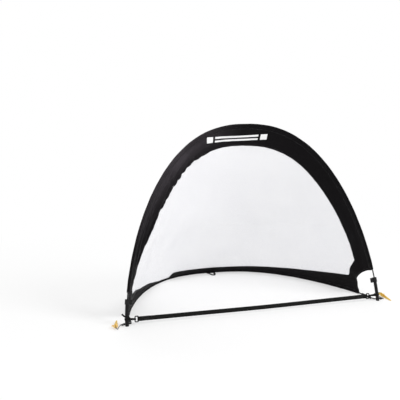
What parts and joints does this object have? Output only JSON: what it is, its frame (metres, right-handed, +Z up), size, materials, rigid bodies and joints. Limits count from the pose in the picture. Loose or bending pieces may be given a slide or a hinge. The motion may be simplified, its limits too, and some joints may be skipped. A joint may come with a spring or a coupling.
{
  "type": "pop up goal",
  "caption": "Free-standing sprung-wire training goal: leaning arch and ground loop in black fabric, with a white net, base strap, corner tubes and ground pegs; the arch folds down flat.",
  "frame": {"origin": "on the ground, midway between the two feet on the goal line", "axes": "+X to the right seen from the mouth, +Y to the back of the net, +Z up"},
  "size_m": [1.3395, 0.872, 0.8424],
  "materials": {
    "spring_wire": "satin black coat",
    "black_fabric": "plain-woven polyester, slight sheen",
    "white_net": "fine knitted mesh",
    "black_webbing": "ribbed woven webbing",
    "corner_tube": "smooth extruded tube, scuffed",
    "black_plastic": "moulded, semi-gloss",
    "peg_cord": "braided elastic cord",
    "peg_plastic": "moulded, semi-gloss"
  },
  "bodies": {
    "ground_frame": {"rear_wire": "spring_wire", "rear_sleeve": "black_fabric", "rear_band": "black_fabric", "net": "white_net", "left_corner_gusset": "black_fabric", "right_corner_gusset": "black_fabric", "left_rear_tube": "corner_tube", "right_rear_tube": "corner_tube", "left_wire_cap": "black_plastic", "right_wire_cap": "black_plastic"},
    "front_arch": {"front_wire": "spring_wire", "front_sleeve": "black_fabric", "front_band": "black_fabric", "left_foot": "corner_tube", "right_foot": "corner_tube", "left_tube_clip": "black_plastic", "right_tube_clip": "black_plastic", "base_strap": "black_webbing", "left_strap_loop": "black_webbing", "right_strap_loop": "black_webbing"},
    "left_ring": {"left_strap_ring": "black_plastic"},
    "right_ring": {"right_strap_ring": "black_plastic"},
    "left_cord": {"left_peg_cord": "peg_cord"},
    "right_cord": {"right_peg_cord": "peg_cord"},
    "left_peg": {"left_peg": "peg_plastic"},
    "right_peg": {"right_peg": "peg_plastic"},
    "rear_loop": {"rear_peg_loop": "black_webbing"}
  },
  "joints": [
    {"name": "arch_fold", "type": "hinge", "parent": "ground_frame", "child": "front_arch", "pos_m": [0, 0.00201, 0.009], "axis": [-1, 0, 0], "range_deg": [0, 72], "stiffness_Nm_per_rad": 4, "springref_deg": -34.38, "deforming": ["front_band", "net", "left_corner_gusset", "right_corner_gusset", "left_strap_loop", "right_strap_loop"]},
    {"name": "left_ring_swing", "type": "hinge", "parent": "front_arch", "child": "left_ring", "pos_m": [-0.5512, 0.00629, 0.025], "axis": [0, 0, 1], "range_deg": [-20, 20], "deforming": ["left_strap_loop"]},
    {"name": "right_ring_swing", "type": "hinge", "parent": "front_arch", "child": "right_ring", "pos_m": [0.5412, 0.00629, 0.025], "axis": [0, 0, 1], "range_deg": [-20, 20], "deforming": ["right_strap_loop"]},
    {"name": "left_cord_lift", "type": "hinge", "parent": "ground_frame", "child": "left_cord", "pos_m": [-0.6182, 0.00201, 0.007], "axis": [0, 1, 0], "range_deg": [0, 60]},
    {"name": "left_peg_turn", "type": "hinge", "parent": "left_cord", "child": "left_peg", "pos_m": [-0.651, -0.024, 0.0102], "axis": [0, 0, 1], "range_deg": [-15, 110]},
    {"name": "right_cord_lift", "type": "hinge", "parent": "ground_frame", "child": "right_cord", "pos_m": [0.6182, 0.00201, 0.007], "axis": [0, -1, 0], "range_deg": [0, 60]},
    {"name": "right_peg_turn", "type": "hinge", "parent": "right_cord", "child": "right_peg", "pos_m": [0.658, 0.078, 0.0102], "axis": [0, 0, 1], "range_deg": [0, 140]},
    {"name": "rear_loop_flip", "type": "hinge", "parent": "ground_frame", "child": "rear_loop", "pos_m": [0, 0.818, 0.002], "axis": [-1, 0, 0], "range_deg": [0, 35]}
  ]
}
